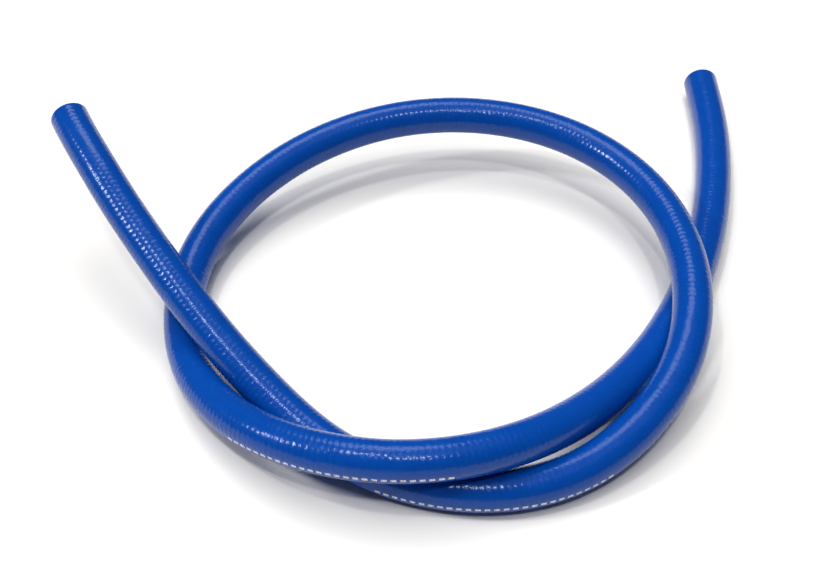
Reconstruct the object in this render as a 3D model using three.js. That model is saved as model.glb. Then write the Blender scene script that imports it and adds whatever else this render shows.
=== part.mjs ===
// Silicone heater hose: one length of smooth rubber hose with a round bore and square-cut ends.
// It lies on a level floor in one loose loop and passes over itself three times.
// Millimetres, +Z up. The floor is z = 0, and the origin is under the middle of the hose's extent.
import * as THREE from "three";
import { NURBSCurve } from "three/addons/curves/NURBSCurve.js";

// Driving dimensions of the hose's section.
const boreDiameter = 16;
const wallThickness = 4;

// Space left between the two turns where the hose passes over itself.
const crossingGap = 1;

// How finely the hose is faceted: sides round the section, and steps along its length.
const sectionSides = 12;
const lengthSteps = 76;

// What follows from them.
const boreRadius = boreDiameter / 2;
const outerRadius = boreRadius + wallThickness;
const passHeight = 2 * outerRadius + crossingGap;

// The route, from the left end to the right end, as points that pull one smooth curve along.
// Each is x, y and how high the hose is lifted there: 0 lies on the floor, 1 passes over another turn.
const route = [
  // The left tail, lying across the loop with its end free.
  [-215, 60, 2.79],
  [-209, 48, 2.72],
  [-194, 23, 2.55],
  [-174, -7, 2.07],
  [-143, -48, 1.46],
  [-114, -84, 0.91],
  [-83, -116, 0.38],
  // The front of the loop, on the floor.
  [-47, -151, 0],
  [-5, -175, 0],
  [44, -184, 0],
  [93, -173, 0],
  // The right side, climbing over the inner turn.
  [134, -142, 0.31],
  [162, -101, 0.75],
  [173, -51, 1.05],
  [170, -1, 1.11],
  [153, 47, 1.13],
  // The back of the loop, coming down to the floor on the left.
  [120, 85, 1.2],
  [75, 109, 1.24],
  [23, 115, 1.27],
  [-28, 106, 1.16],
  [-75, 82, 0.93],
  [-112, 47, 0.59],
  [-135, 5, 0.27],
  [-141, -42, 0.04],
  [-130, -93, 0],
  // The inner turn, passing over the front of the loop.
  [-103, -136, 0.37],
  [-61, -169, 0.83],
  [-8, -184, 1.05],
  [45, -176, 1.02],
  [89, -148, 0.62],
  [127, -108, 0.2],
  // The right tail, on the floor under the right side and out behind it.
  [158, -63, 0],
  [182, -14, 0],
  [199, 37, 0],
  [210, 89, 0],
  [216, 141, 0],
  [216, 176, 0],
  [216, 193, 0],
];

// A cubic curve whose ends meet the first and last points.
function hosePath() {
  const degree = 3;
  const points = route.map(([x, y, lift]) => new THREE.Vector4(x, y, outerRadius + lift * passHeight, 1));
  const spans = points.length - degree;
  const knots = [];
  for (let i = -degree; i <= spans + degree; i++) {
    knots.push(Math.min(Math.max(i / spans, 0), 1));
  }
  return new NURBSCurve(degree, knots, points);
}

// The hose wall's section: a ring, open through its bore.
function hoseSection() {
  const section = new THREE.Shape().absarc(0, 0, outerRadius, 0, 2 * Math.PI);
  section.holes.push(new THREE.Path().absarc(0, 0, boreRadius, 0, 2 * Math.PI, true));
  return section;
}

function heaterHose() {
  const geometry = new THREE.ExtrudeGeometry(hoseSection(), {
    steps: lengthSteps,
    curveSegments: sectionSides / 2,
    extrudePath: hosePath(),
  });
  const siliconeRubber = new THREE.MeshStandardMaterial({ color: 0x0a50b4, roughness: 0.3, metalness: 0 });
  const hose = new THREE.Mesh(geometry, siliconeRubber);
  hose.name = "heater_hose";
  return hose;
}

const part = new THREE.Group();
part.add(heaterHose());

export default part;
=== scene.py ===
"""A length of blue silicone heater hose, lying in one loose loop on a plain pale floor.

All sizes are in metres, +Z up, in the same frame as the hose's solid model.
"""

import math

import bpy
import numpy as np
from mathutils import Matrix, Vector


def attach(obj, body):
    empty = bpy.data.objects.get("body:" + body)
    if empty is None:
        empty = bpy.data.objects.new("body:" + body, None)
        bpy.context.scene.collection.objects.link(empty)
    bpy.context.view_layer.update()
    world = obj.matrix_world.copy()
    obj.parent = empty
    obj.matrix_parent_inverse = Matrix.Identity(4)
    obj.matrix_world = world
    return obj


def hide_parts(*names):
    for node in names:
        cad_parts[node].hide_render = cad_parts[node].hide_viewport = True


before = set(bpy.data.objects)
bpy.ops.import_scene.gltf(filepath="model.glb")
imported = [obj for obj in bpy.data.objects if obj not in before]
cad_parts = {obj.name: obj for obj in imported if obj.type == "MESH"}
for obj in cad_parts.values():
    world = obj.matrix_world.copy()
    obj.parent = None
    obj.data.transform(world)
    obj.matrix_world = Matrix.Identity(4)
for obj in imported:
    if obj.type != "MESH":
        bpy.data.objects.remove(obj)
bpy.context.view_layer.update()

bl_info = {
    "name": "Heater hose",
    "version": (1, 0, 0),
    "blender": (4, 5, 0),
    "location": "View3D > Sidebar > Hose",
    "description": "Makes a loose length of silicone heater hose and the stage that it is shown on",
    "category": "Add Mesh",
}

HOSE_NODE = "heater_hose"
HOSE_UV = "hose_uv"

# The route, from the left end to the right end, as points that pull one smooth curve along.
# Each is x, y and how high the hose is lifted there: 0 lies on the floor, 1 passes over another turn.
ROUTE = [
    # The left tail, lying across the loop with its end free.
    (-0.215, 0.060, 2.79),
    (-0.209, 0.048, 2.72),
    (-0.194, 0.023, 2.55),
    (-0.174, -0.007, 2.07),
    (-0.143, -0.048, 1.46),
    (-0.114, -0.084, 0.91),
    (-0.083, -0.116, 0.38),
    # The front of the loop, on the floor.
    (-0.047, -0.151, 0),
    (-0.005, -0.175, 0),
    (0.044, -0.184, 0),
    (0.093, -0.173, 0),
    # The right side, climbing over the inner turn.
    (0.134, -0.142, 0.31),
    (0.162, -0.101, 0.75),
    (0.173, -0.051, 1.05),
    (0.170, -0.001, 1.11),
    (0.153, 0.047, 1.13),
    # The back of the loop, coming down to the floor on the left.
    (0.120, 0.085, 1.2),
    (0.075, 0.109, 1.24),
    (0.023, 0.115, 1.27),
    (-0.028, 0.106, 1.16),
    (-0.075, 0.082, 0.93),
    (-0.112, 0.047, 0.59),
    (-0.135, 0.005, 0.27),
    (-0.141, -0.042, 0.04),
    (-0.130, -0.093, 0),
    # The inner turn, passing over the front of the loop.
    (-0.103, -0.136, 0.37),
    (-0.061, -0.169, 0.83),
    (-0.008, -0.184, 1.05),
    (0.045, -0.176, 1.02),
    (0.089, -0.148, 0.62),
    (0.127, -0.108, 0.2),
    # The right tail, on the floor under the right side and out behind it.
    (0.158, -0.063, 0),
    (0.182, -0.014, 0),
    (0.199, 0.037, 0),
    (0.210, 0.089, 0),
    (0.216, 0.141, 0),
    (0.216, 0.176, 0),
    (0.216, 0.193, 0),
]


class HoseSizes(bpy.types.PropertyGroup):
    """The sizes of the hose and of the relief on its skin."""

    bore: bpy.props.FloatProperty(
        name="Bore", description="Inside diameter", default=0.016, unit="LENGTH"
    )
    wall: bpy.props.FloatProperty(
        name="Wall", description="Thickness of the rubber wall", default=0.004, unit="LENGTH"
    )
    crossing_gap: bpy.props.FloatProperty(
        name="Crossing gap",
        description="Space between two turns where the hose passes over itself",
        default=0.001,
        unit="LENGTH",
    )
    length: bpy.props.FloatProperty(
        name="Length", description="Real length of the hose, end to end", default=1.769, unit="LENGTH"
    )
    stitch: bpy.props.FloatProperty(
        name="Stitch",
        description="Length of one stitch of the knitted yarn under the skin",
        default=0.0035,
        unit="LENGTH",
    )
    stitch_relief: bpy.props.FloatProperty(
        name="Stitch relief",
        description="How deep the skin dips between stitches",
        default=0.00006,
        precision=6,
        unit="LENGTH",
    )
    rings_per_stitch: bpy.props.IntProperty(
        name="Rings per stitch", description="Rings of faces along one stitch", default=4, min=4
    )
    stitch_columns: bpy.props.IntProperty(
        name="Stitch columns", description="Columns of stitches round the hose", default=16, min=6
    )
    lip: bpy.props.FloatProperty(
        name="Lip", description="Radius that the knife leaves on the cut edges", default=0.0004, unit="LENGTH"
    )


class HoseColours(bpy.types.PropertyGroup):
    """The colours of the rubber, the yarn and the line printed along the hose."""

    skin: bpy.props.FloatVectorProperty(
        name="Skin",
        description="Blue of the skin over the stitches",
        default=(0.0008, 0.062, 0.36),
        subtype="COLOR",
        size=3,
    )
    # A deeper blue for random patches on the skin and streaks in the bore; on the skin it is also painted
    # shade in the hollows between the stitches.
    deep_blue_and_painted_shade: bpy.props.FloatVectorProperty(
        name="Hollows",
        description="Deeper blue of the skin between the stitches",
        default=(0.0004, 0.045, 0.28),
        subtype="COLOR",
        size=3,
    )
    cut: bpy.props.FloatVectorProperty(
        name="Cut rubber",
        description="Blue of the cut ends and of the bore",
        default=(0.002, 0.06, 0.32),
        subtype="COLOR",
        size=3,
    )
    yarn: bpy.props.FloatVectorProperty(
        name="Yarn",
        description="Cut ends of the yarn in the wall",
        default=(0.55, 0.56, 0.6),
        subtype="COLOR",
        size=3,
    )
    line: bpy.props.FloatVectorProperty(
        name="Printed line",
        description="Broken line printed along the hose",
        default=(0.75, 0.78, 0.85),
        subtype="COLOR",
        size=3,
    )


class StageSettings(bpy.types.PropertyGroup):
    """Where the camera stands and how it sees, the floor's colour and the room's light."""

    camera_place: bpy.props.FloatVectorProperty(
        name="Camera place",
        description="Where the camera stands",
        default=(0.004, -0.621, 0.604),
        subtype="TRANSLATION",
        size=3,
    )
    camera_pitch: bpy.props.FloatProperty(
        name="Camera pitch",
        description="How far the camera looks down from level",
        default=math.radians(45),
        subtype="ANGLE",
    )
    camera_lens: bpy.props.FloatProperty(
        name="Camera lens", description="Focal length in millimetres on a 36 mm sensor", default=58.2
    )
    floor_colour: bpy.props.FloatVectorProperty(
        name="Floor", description="Colour of the floor", default=(0.88, 0.865, 0.83), subtype="COLOR", size=3
    )
    room_light: bpy.props.FloatProperty(
        name="Room light", description="Strength of the even light from all round", default=0.06
    )


class Wire:
    """One output of a shader node, so that shader maths reads as plain Python."""

    def __init__(self, shader, socket):
        self.shader = shader
        self.socket = socket

    def __add__(self, other):
        return self.shader.maths("ADD", self, other)

    def __radd__(self, other):
        return self.shader.maths("ADD", other, self)

    def __sub__(self, other):
        return self.shader.maths("SUBTRACT", self, other)

    def __rsub__(self, other):
        return self.shader.maths("SUBTRACT", other, self)

    def __mul__(self, other):
        return self.shader.maths("MULTIPLY", self, other)

    def __rmul__(self, other):
        return self.shader.maths("MULTIPLY", other, self)

    def __truediv__(self, other):
        return self.shader.maths("DIVIDE", self, other)

    def __lt__(self, other):
        return self.shader.maths("LESS_THAN", self, other)

    def __abs__(self):
        return self.shader.maths("ABSOLUTE", self)


class Shader:
    """The nodes of one material."""

    def __init__(self, name):
        self.material = bpy.data.materials.new(name)
        self.material.use_nodes = True
        self.tree = self.material.node_tree
        self.tree.nodes.clear()

    def node(self, kind, settings=None, sockets=None):
        """Adds a node: its settings first, then a value or a link for each named socket."""
        made = self.tree.nodes.new(kind)
        for name, value in (settings or {}).items():
            setattr(made, name, value)
        for name, value in (sockets or {}).items():
            if isinstance(value, Wire):
                self.tree.links.new(value.socket, made.inputs[name])
            else:
                made.inputs[name].default_value = value
        return made

    def wire(self, node, output=0):
        return Wire(self, node.outputs[output])

    def maths(self, operation, *values):
        return self.wire(self.node("ShaderNodeMath", {"operation": operation}, dict(enumerate(values))))

    def part_after_point(self, value):
        return self.maths("FRACT", value)

    def wave(self, turns):
        """1 at whole turns, 0 half way between."""
        return 0.5 + 0.5 * self.maths("COSINE", turns * math.tau)

    def smooth(self, value, low, high):
        """0 below low, 1 above high, and an even ease between."""
        return self.wire(
            self.node(
                "ShaderNodeMapRange",
                {"interpolation_type": "SMOOTHSTEP"},
                {"Value": value, "From Min": low, "From Max": high},
            )
        )

    def mix(self, share, first, second):
        """A colour between two others."""
        made = self.node("ShaderNodeMix", {"data_type": "RGBA"})
        for index, value in ((0, share), (6, first), (7, second)):
            if isinstance(value, Wire):
                self.tree.links.new(value.socket, made.inputs[index])
            else:
                made.inputs[index].default_value = value
        return self.wire(made, 2)

    def noise(self, scale, detail=2.0):
        """Even noise through the solid, with scale in lumps per metre."""
        place = self.node("ShaderNodeTexCoord")
        return self.wire(
            self.node(
                "ShaderNodeTexNoise",
                {"noise_dimensions": "3D"},
                {"Vector": self.wire(place, "Object"), "Scale": scale, "Detail": detail},
            )
        )

    def hose_place(self):
        """How far along the hose a point is, in metres, and how far round, in turns from the top."""
        place = self.node("ShaderNodeUVMap", {"uv_map": HOSE_UV})
        split = self.node("ShaderNodeSeparateXYZ", None, {"Vector": self.wire(place)})
        return self.wire(split, "X"), self.wire(split, "Y")

    def bump(self, height, depth):
        made = self.node("ShaderNodeBump", None, {"Height": height, "Distance": depth, "Strength": 1.0})
        return self.wire(made, "Normal")

    def finish(self, sockets):
        surface = self.node("ShaderNodeBsdfPrincipled", None, sockets)
        self.node("ShaderNodeOutputMaterial", None, {"Surface": self.wire(surface)})
        return self.material


def opaque(colour):
    return (*colour, 1.0)


# Lumps per metre of the unevenness in the rubber, from broad patches to fine grain.
PATCHES = 90
SPOTS = 380
GRAIN = 1400
CUT_GRAIN = 900
BORE_STREAKS = 160

# How deep the bumps of each finish are.
SKIN_BUMPS = 0.00005
CUT_BUMPS = 0.00008
BORE_BUMPS = 0.00005

SKIN_IOR = 1.4
SKIN_SHINE = (0.75, 0.86, 1.0)
INNER_IOR = 1.43

# The cut end of one yarn: where its edge starts to fade and where it is gone.
YARN_CORE = 0.00022
YARN_EDGE = 0.00042

# Fine lines that the mandrel drew round the bore.
BORE_LINES = 64

# The printed line: where it sits round the hose, in turns from the top, and its runs of dashes.
LINE_TURN = 0.27
LINE_HEIGHT = 0.0019
LINE_RUN = 0.126
LINE_PERIOD = 0.876
LINE_START = 0.318
DASH_PITCH = 0.0047
DASH_SHARE = 0.6

# How far each leg of a stitch slants along the hose, and how far a stitch strays, in stitches.
STITCH_SLANT = 1 / 4
STITCH_STRAY = 0.35


def skin_material(sizes, colours):
    """Glossy blue silicone over a knit, its blue varying at random, with painted shade deepening it in the
    hollows between the stitches, and a broken line.
    """
    shader = Shader("blue_silicone_skin")
    along, around = shader.hose_place()
    girth = math.pi * (sizes.bore + 2 * sizes.wall)
    column = abs(shader.part_after_point(around * sizes.stitch_columns) - 0.5) * 2
    spots = shader.noise(SPOTS, 2)
    phase = along / sizes.stitch + column * STITCH_SLANT + spots * STITCH_STRAY
    stitches = shader.wave(phase) * (0.8 + 0.2 * shader.wave(phase / 2))
    patches = shader.noise(PATCHES, 3)
    grain = shader.noise(GRAIN, 2)
    # Random patches and spots in the rubber, plus painted shade: the blue darkens where the skin dips between
    # the stitches.
    tone_and_painted_shade = stitches * 0.15 + patches * 0.6 + spots * 0.3
    skin = shader.mix(tone_and_painted_shade, opaque(colours.deep_blue_and_painted_shade), opaque(colours.skin))

    in_run = shader.part_after_point((along - LINE_START) / LINE_PERIOD) * LINE_PERIOD
    dashes = shader.part_after_point(in_run / DASH_PITCH) < DASH_SHARE
    off_line = abs(around - LINE_TURN) * girth
    on_line = 1 - shader.smooth(off_line, LINE_HEIGHT * 0.42, LINE_HEIGHT * 0.58)
    line = on_line * dashes * (in_run < LINE_RUN)
    worn = line * shader.smooth(grain, 0.3, 0.5)

    return shader.finish(
        {
            "Base Color": shader.mix(worn, skin, opaque(colours.line)),
            "Roughness": 0.15 + patches * 0.1 + worn * 0.2,
            "Normal": shader.bump(stitches * 1.3 + spots * 3.5 + grain * 0.2 + worn * 0.2, SKIN_BUMPS),
            "IOR": SKIN_IOR,
            "Specular Tint": opaque(SKIN_SHINE),
        }
    )


def cut_material(sizes, colours):
    """The knife-cut end of the wall: matt rubber with the ends of the yarn as a ring of pale specks."""
    shader = Shader("cut_silicone")
    radius, around = shader.hose_place()
    middle = (sizes.bore + sizes.wall) / 2
    column = shader.part_after_point(around * sizes.stitch_columns * 2) - 0.5
    girth = 2 * math.pi * middle / (sizes.stitch_columns * 2)
    off_yarn = shader.maths("SQRT", (radius - middle) * (radius - middle) + column * column * girth**2)
    yarn = 1 - shader.smooth(off_yarn, YARN_CORE, YARN_EDGE)
    grain = shader.noise(CUT_GRAIN, 3)
    rubber = shader.mix(grain, opaque(colours.cut), opaque(colours.skin))
    return shader.finish(
        {
            "Base Color": shader.mix(yarn * 0.8, rubber, opaque(colours.yarn)),
            "Roughness": 0.5 + grain * 0.2,
            "Normal": shader.bump(grain + yarn * 0.5, CUT_BUMPS),
            "IOR": INNER_IOR,
        }
    )


def bore_material(sizes, colours):
    """The inside of the hose, smooth from the mandrel that it was made on."""
    shader = Shader("bore_silicone")
    around = shader.hose_place()[1]
    streaks = shader.noise(BORE_STREAKS, 4)
    drawn = shader.wave(around * BORE_LINES + streaks * 2)
    return shader.finish(
        {
            "Base Color": shader.mix(streaks, opaque(colours.cut), opaque(colours.deep_blue_and_painted_shade)),
            "Roughness": 0.38 + streaks * 0.15,
            "Normal": shader.bump(drawn * 0.3 + streaks, BORE_BUMPS),
            "IOR": INNER_IOR,
        }
    )


def curve_pull(count, where):
    """How much each of count points pulls on a clamped cubic curve, at each parameter from 0 to 1."""
    degree = 3
    spans = count - degree
    knots = np.clip(np.arange(-degree, spans + degree + 1) / spans, 0, 1)
    where = np.minimum(where, 1 - 1e-12)[:, None]
    pull = ((knots[:-1] <= where) & (where < knots[1:])).astype(float)
    for order in range(1, degree + 1):
        width = knots[order:] - knots[:-order]
        share = (where - knots[:-order]) / np.where(width > 0, width, 1)
        pull = share[:, :-1] * pull[:, :-1] + (1 - share[:, 1:]) * pull[:, 1:] * (width[1:] > 0)
    return pull


class HosePath:
    """The hose's centreline, measured by the distance along it."""

    SAMPLES = 6001

    def __init__(self, sizes):
        radius = sizes.bore / 2 + sizes.wall
        pass_height = 2 * radius + sizes.crossing_gap
        points = np.array([(x, y, radius + lift * pass_height) for x, y, lift in ROUTE])
        self.line = curve_pull(len(points), np.linspace(0, 1, self.SAMPLES)) @ points
        steps = np.linalg.norm(np.diff(self.line, axis=0), axis=1)
        self.run = np.concatenate([[0], np.cumsum(steps)])
        self.length = self.run[-1]
        self.heading = np.gradient(self.line, self.run, axis=0)

    def at(self, distance):
        """The places on the centreline at those distances."""
        return self.between(self.line, distance)

    def between(self, values, distance):
        return np.stack([np.interp(distance, self.run, values[:, k]) for k in range(3)], axis=1)

    def across(self, distance):
        """The directions out of the hose to its top and to its right at those distances."""
        ahead = self.between(self.heading, distance)
        ahead /= np.linalg.norm(ahead, axis=1, keepdims=True)
        right = np.cross(ahead, (0, 0, 1))
        right /= np.linalg.norm(right, axis=1, keepdims=True)
        return np.cross(right, ahead), right


# The materials of the mesh in order, and how finely its lips, cut faces and bore are divided.
SKIN, CUT, BORE = range(3)
LIP_STEPS = 3
FACE_STEPS = 4
BORE_STEP = 0.018


def wall_outline(sizes, length):
    """The cut-open wall's outline, as (distance along, radius, material) going out, over, back and over."""
    lip = sizes.lip
    inner = sizes.bore / 2
    outer = inner + sizes.wall
    corner = [math.pi / 2 * k / LIP_STEPS for k in range(1, LIP_STEPS + 1)]
    skin_rings = round((length - 2 * lip) / sizes.stitch * sizes.rings_per_stitch)
    bore_rings = round((length - 2 * lip) / BORE_STEP)
    skin = [(s, outer, SKIN) for s in np.linspace(lip, length - lip, skin_rings)]
    outer_lip = [(lip - lip * math.sin(a), outer - lip + lip * math.cos(a), CUT) for a in corner]
    face = [(0, r, CUT) for r in np.linspace(outer - lip, inner + lip, FACE_STEPS + 1)[1:]]
    inner_lip = [(lip - lip * math.cos(a), inner + lip - lip * math.sin(a), CUT) for a in corner]
    bore = [(s, inner, BORE) for s in np.linspace(lip, length - lip, bore_rings)[1:]]
    near_end = outer_lip + face + inner_lip
    far_end = [(length - s, r, kind) for s, r, kind in near_end]
    back_along_bore = [(length - s, r, kind) for s, r, kind in bore]
    return skin + far_end + back_along_bore[:-1] + near_end[::-1]


def skin_dip(sizes, distance, length, sides):
    """How far the skin dips between the stitches, for each ring and side."""
    column = (np.arange(sides) + 1) % 2
    turns = distance[:, None] / sizes.stitch + column * STITCH_SLANT
    fade = np.clip(np.minimum(distance, length - distance) / sizes.stitch, 0, 1)[:, None]
    return sizes.stitch_relief * (0.5 - 0.5 * np.cos(turns * math.tau)) * fade


def hose_mesh(sizes):
    """The hose as one closed skin: outside, cut ends and bore. Returns the mesh and its path."""
    path = HosePath(sizes)
    sides = 2 * sizes.stitch_columns
    outline = wall_outline(sizes, path.length)
    distance, radius, kind = (np.array(column) for column in zip(*outline))
    rings = len(outline)
    up, right = path.across(distance)
    turn = np.arange(sides) / sides * math.tau
    out = up[:, None] * np.cos(turn)[None, :, None] + right[:, None] * np.sin(turn)[None, :, None]
    reach = radius[:, None] - skin_dip(sizes, distance, path.length, sides) * (kind == SKIN)[:, None]
    places = path.at(distance)[:, None] + out * reach[:, :, None]

    ring, side = np.meshgrid(np.arange(rings), np.arange(sides), indexing="ij")
    next_ring = (ring + 1) % rings
    next_side = (side + 1) % sides
    corners = [(ring, side), (ring, next_side), (next_ring, next_side), (next_ring, side)]
    faces = np.stack([(r * sides + s).ravel() for r, s in corners], axis=1)
    mesh = bpy.data.meshes.new(HOSE_NODE)
    mesh.from_pydata(places.reshape(-1, 3).tolist(), [], faces.tolist())

    # Between two rings of different materials, the one further in goes on the face.
    face_kind = np.maximum(kind, np.roll(kind, -1))
    mesh.polygons.foreach_set("material_index", np.repeat(face_kind, sides).astype(np.int32))
    mesh.polygons.foreach_set("use_smooth", np.ones(len(faces), bool))
    along = np.where(kind == CUT, radius, distance)
    uv = np.empty((rings, sides, 4, 2))
    uv[..., 0] = np.stack([along[ring], along[ring], along[next_ring], along[next_ring]], axis=-1)
    uv[..., 1] = np.stack([side, side + 1, side + 1, side], axis=-1) / sides
    mesh.uv_layers.new(name=HOSE_UV)
    mesh.uv_layers[HOSE_UV].data.foreach_set("uv", uv.astype(np.float32).ravel())
    mesh.update()
    mesh.validate()
    return mesh, path


class HOSE_OT_hose(bpy.types.Operator):
    """Makes the hose along its route and gives it its rubber"""

    bl_idname = "hose.hose"
    bl_label = "Heater hose"

    def execute(self, context):
        sizes = context.scene.hose_sizes
        colours = context.scene.hose_colours
        mesh, path = hose_mesh(sizes)
        for material in (skin_material, cut_material, bore_material):
            mesh.materials.append(material(sizes, colours))
        hose = bpy.data.objects.new("heater_hose_rubber", mesh)
        context.collection.objects.link(hose)
        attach(hose, "root")
        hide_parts(HOSE_NODE)
        return {"FINISHED"}


# The lamps: name, direction from the hose, how many degrees wide they look, light on a face turned to them,
# and whether the hose mirrors them. They stand far off, so that they light the floor evenly.
LAMP_DISTANCE = 12.0
LAMPS = [
    ("lamp_left", (-0.78, -0.06, 0.64), 6, 0.7, True),
    ("lamp_middle", (-0.30, -0.10, 0.95), 4, 0.4, True),
    ("lamp_front", (0.0, -0.37, 0.93), 4, 0.4, True),
    ("lamp_behind", (-0.10, 0.50, 0.85), 26, 0.5, True),
    ("lamp_soft", (0.0, 0.1, 1.0), 60, 2.2, False),
]
WATTS_PER_LIGHT = 4
FLOOR_SIZE = 30
SENSOR_WIDTH = 36


def aim(thing, direction):
    """Turns a lamp so that it shines back along that direction."""
    thing.rotation_euler = Vector(direction).to_track_quat("Z", "Y").to_euler()


def add_lamp(name, direction, degrees, light, mirrored):
    """A round lamp that looks that many degrees wide from the hose and lights it that strongly.

    A lamp that isn't mirrored leaves no shine on the hose.
    """
    width = 2 * LAMP_DISTANCE * math.tan(math.radians(degrees) / 2)
    far = np.array(direction) / np.linalg.norm(direction) * LAMP_DISTANCE
    bpy.ops.object.light_add(type="AREA", location=far)
    lamp = bpy.context.object
    lamp.name = name
    lamp.data.shape = "DISK"
    lamp.data.size = width
    lamp.data.energy = WATTS_PER_LIGHT * light * LAMP_DISTANCE**2
    lamp.visible_glossy = mirrored
    aim(lamp, direction)


def add_camera(settings):
    bpy.ops.object.camera_add(
        location=settings.camera_place,
        rotation=(math.pi / 2 - settings.camera_pitch, 0, 0),
    )
    camera = bpy.context.object
    camera.name = "camera"
    camera.data.lens = settings.camera_lens
    camera.data.sensor_width = SENSOR_WIDTH
    camera.data.clip_start = 0.01
    bpy.context.scene.camera = camera


def add_floor(settings):
    bpy.ops.mesh.primitive_plane_add(size=FLOOR_SIZE)
    floor = bpy.context.object
    floor.name = "floor"
    looks = {"Base Color": opaque(settings.floor_colour), "Roughness": 0.8, "Specular IOR Level": 0.1}
    floor.data.materials.append(Shader("pale_floor").finish(looks))


def light_room(settings):
    world = bpy.data.worlds.new("room")
    world.use_nodes = True
    background = world.node_tree.nodes["Background"]
    background.inputs["Color"].default_value = (1, 1, 1, 1)
    background.inputs["Strength"].default_value = settings.room_light
    bpy.context.scene.world = world
    bpy.context.scene.view_settings.view_transform = "Standard"


class HOSE_OT_camera(bpy.types.Operator):
    """Stands the camera where the hose is looked at from"""

    bl_idname = "hose.camera"
    bl_label = "Camera"

    def execute(self, context):
        add_camera(context.scene.hose_stage)
        return {"FINISHED"}


class HOSE_OT_stage(bpy.types.Operator):
    """Lays the floor and lights it"""

    bl_idname = "hose.stage"
    bl_label = "Floor and lamps"

    def execute(self, context):
        bpy.ops.object.select_all(action="DESELECT")
        add_floor(context.scene.hose_stage)
        for lamp in LAMPS:
            add_lamp(*lamp)
        light_room(context.scene.hose_stage)
        return {"FINISHED"}


class HOSE_PT_panel(bpy.types.Panel):
    """The hose's settings and the steps that make it"""

    bl_idname = "HOSE_PT_panel"
    bl_label = "Heater hose"
    bl_space_type = "VIEW_3D"
    bl_region_type = "UI"
    bl_category = "Hose"

    def draw(self, context):
        for group in (context.scene.hose_stage, context.scene.hose_sizes, context.scene.hose_colours):
            box = self.layout.box()
            for name in group.bl_rna.properties.keys():
                if name not in ("rna_type", "name"):
                    box.prop(group, name)
        for operator in OPERATORS:
            self.layout.operator(operator.bl_idname)


PROPERTY_GROUPS = {"hose_sizes": HoseSizes, "hose_colours": HoseColours, "hose_stage": StageSettings}
OPERATORS = (HOSE_OT_camera, HOSE_OT_hose, HOSE_OT_stage)
CLASSES = (*PROPERTY_GROUPS.values(), *OPERATORS, HOSE_PT_panel)


def register():
    for item in CLASSES:
        bpy.utils.register_class(item)
    for name, group in PROPERTY_GROUPS.items():
        setattr(bpy.types.Scene, name, bpy.props.PointerProperty(type=group))


def unregister():
    for name in PROPERTY_GROUPS:
        delattr(bpy.types.Scene, name)
    for item in reversed(CLASSES):
        bpy.utils.unregister_class(item)


def main():
    register()
    bpy.ops.object.select_all(action="DESELECT")
    bpy.ops.hose.camera()
    bpy.ops.hose.hose()
    bpy.ops.hose.stage()


if __name__ == "__main__":
    main()
